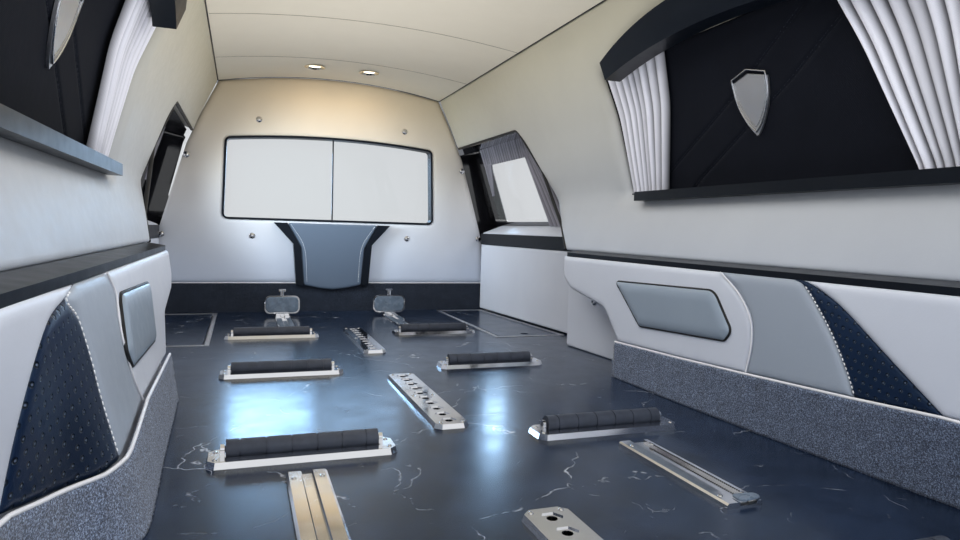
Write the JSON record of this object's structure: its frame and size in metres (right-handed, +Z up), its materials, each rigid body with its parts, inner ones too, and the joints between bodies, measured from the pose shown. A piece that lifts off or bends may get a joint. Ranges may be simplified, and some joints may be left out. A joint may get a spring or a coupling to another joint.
{
  "type": "hearse casket compartment",
  "caption": "Hearse body section with its casket compartment: floor rollers, pin plates, padded walls, side doors and partition.",
  "frame": {"origin": "on the ground under the middle of the compartment's length and width", "axes": "+X to the vehicle's right, +Y forward towards the partition, +Z up"},
  "size_m": [1.962, 3.28, 1.332],
  "materials": {
    "body_paint": "gloss black paint",
    "frame_steel": "satin black chassis paint",
    "light_vinyl": "light grey padded vinyl",
    "warm_vinyl": "pale cream padded vinyl",
    "grey_vinyl": "mid grey padded vinyl",
    "black_leather": "perforated black leather",
    "carpet": "heathered dark grey carpet",
    "deck_laminate": "polished black stone-look laminate",
    "gloss_trim": "gloss black moulding",
    "black_cloth": "black cloth over board",
    "chrome": "polished chrome",
    "bright_steel": "bright steel",
    "roller_rubber": "black rubber",
    "curtain_cloth": "silver grey pleated cloth",
    "door_curtain_cloth": "grey gathered cloth",
    "headlining": "pale headlining",
    "tinted_glass": "clear tinted glass",
    "lamp": "bright lamp rim"
  },
  "bodies": {
    "compartment": {"belt_mouldings": "gloss_trim", "console": "grey_vinyl", "console_edges": "gloss_trim", "cover_carpets": "carpet", "cover_leather": "black_leather", "cover_pads": "grey_vinyl", "cover_panels": "light_vinyl", "deck": "deck_laminate", "door_hinges": "bright_steel", "downlights": "lamp", "hatch_bins": "frame_steel", "hatch_frames": "bright_steel", "headliner": "headlining", "kickboard": "carpet", "padded_walls": "warm_vinyl", "partition": "warm_vinyl", "partition_frame": "gloss_trim", "partition_panes": "tinted_glass", "pin_plates": "chrome", "pocket_panels": "light_vinyl", "roller_trays": "chrome", "roof": "body_paint", "side_glass": "tinted_glass", "side_shell_left": "body_paint", "side_shell_right": "body_paint", "sill_plate": "bright_steel", "track_plates": "chrome", "underframe": "frame_steel", "wheel_covers": "light_vinyl", "wheelhouses": "frame_steel", "window_boards": "black_cloth", "window_curtains": "curtain_cloth", "window_shields": "chrome", "window_sills": "gloss_trim", "window_valances": "gloss_trim"},
    "door_left": {"door_left": "body_paint", "door_trim_left": "light_vinyl", "door_band_left": "gloss_trim", "door_glass_left": "tinted_glass", "door_curtain_left": "door_curtain_cloth"},
    "hatch_lid_left": {"hatch_lid_left": "deck_laminate"},
    "stop_left": {"stop_left": "chrome"},
    "roller_1_left": {"roller_1_left": "roller_rubber"},
    "roller_2_left": {"roller_2_left": "roller_rubber"},
    "roller_3_left": {"roller_3_left": "roller_rubber"},
    "roller_4_left": {"roller_4_left": "roller_rubber"},
    "door_right": {"door_right": "body_paint", "door_trim_right": "light_vinyl", "door_band_right": "gloss_trim", "door_glass_right": "tinted_glass", "door_curtain_right": "door_curtain_cloth"},
    "hatch_lid_right": {"hatch_lid_right": "deck_laminate"},
    "stop_right": {"stop_right": "chrome"},
    "roller_1_right": {"roller_1_right": "roller_rubber"},
    "roller_2_right": {"roller_2_right": "roller_rubber"},
    "roller_3_right": {"roller_3_right": "roller_rubber"},
    "roller_4_right": {"roller_4_right": "roller_rubber"}
  },
  "joints": [
    {"name": "door_right_hinge", "type": "hinge", "parent": "compartment", "child": "door_right", "pos_m": [0.972, 1.604, 0.35], "axis": [0, 0, 1], "range_deg": [0, 65]},
    {"name": "hatch_right_hinge", "type": "hinge", "parent": "compartment", "child": "hatch_lid_right", "pos_m": [0.538, 0.979, 0.143], "axis": [0, -1, 0], "range_deg": [0, 100]},
    {"name": "stop_right_slide", "type": "slide", "parent": "compartment", "child": "stop_right", "axis": [0, 1, 0], "range_m": [-0.42, 0.04]},
    {"name": "roller_1_right_spin", "type": "hinge", "parent": "compartment", "child": "roller_1_right", "pos_m": [0.305, -1.226, 0.1695], "axis": [1, 0, 0], "continuous": true},
    {"name": "roller_2_right_spin", "type": "hinge", "parent": "compartment", "child": "roller_2_right", "pos_m": [0.305, -0.594, 0.1695], "axis": [1, 0, 0], "continuous": true},
    {"name": "roller_3_right_spin", "type": "hinge", "parent": "compartment", "child": "roller_3_right", "pos_m": [0.305, 0.086, 0.1695], "axis": [1, 0, 0], "continuous": true},
    {"name": "roller_4_right_spin", "type": "hinge", "parent": "compartment", "child": "roller_4_right", "pos_m": [0.305, 0.716, 0.1695], "axis": [1, 0, 0], "continuous": true},
    {"name": "door_left_hinge", "type": "hinge", "parent": "compartment", "child": "door_left", "pos_m": [-0.972, 1.604, 0.35], "axis": [0, 0, -1], "range_deg": [0, 65]},
    {"name": "hatch_left_hinge", "type": "hinge", "parent": "compartment", "child": "hatch_lid_left", "pos_m": [-0.538, 0.979, 0.143], "axis": [0, 1, 0], "range_deg": [0, 100]},
    {"name": "stop_left_slide", "type": "slide", "parent": "compartment", "child": "stop_left", "axis": [0, 1, 0], "range_m": [-0.42, 0.04]},
    {"name": "roller_1_left_spin", "type": "hinge", "parent": "compartment", "child": "roller_1_left", "pos_m": [-0.305, -1.226, 0.1695], "axis": [1, 0, 0], "continuous": true},
    {"name": "roller_2_left_spin", "type": "hinge", "parent": "compartment", "child": "roller_2_left", "pos_m": [-0.305, -0.594, 0.1695], "axis": [1, 0, 0], "continuous": true},
    {"name": "roller_3_left_spin", "type": "hinge", "parent": "compartment", "child": "roller_3_left", "pos_m": [-0.305, 0.086, 0.1695], "axis": [1, 0, 0], "continuous": true},
    {"name": "roller_4_left_spin", "type": "hinge", "parent": "compartment", "child": "roller_4_left", "pos_m": [-0.305, 0.716, 0.1695], "axis": [1, 0, 0], "continuous": true}
  ]
}
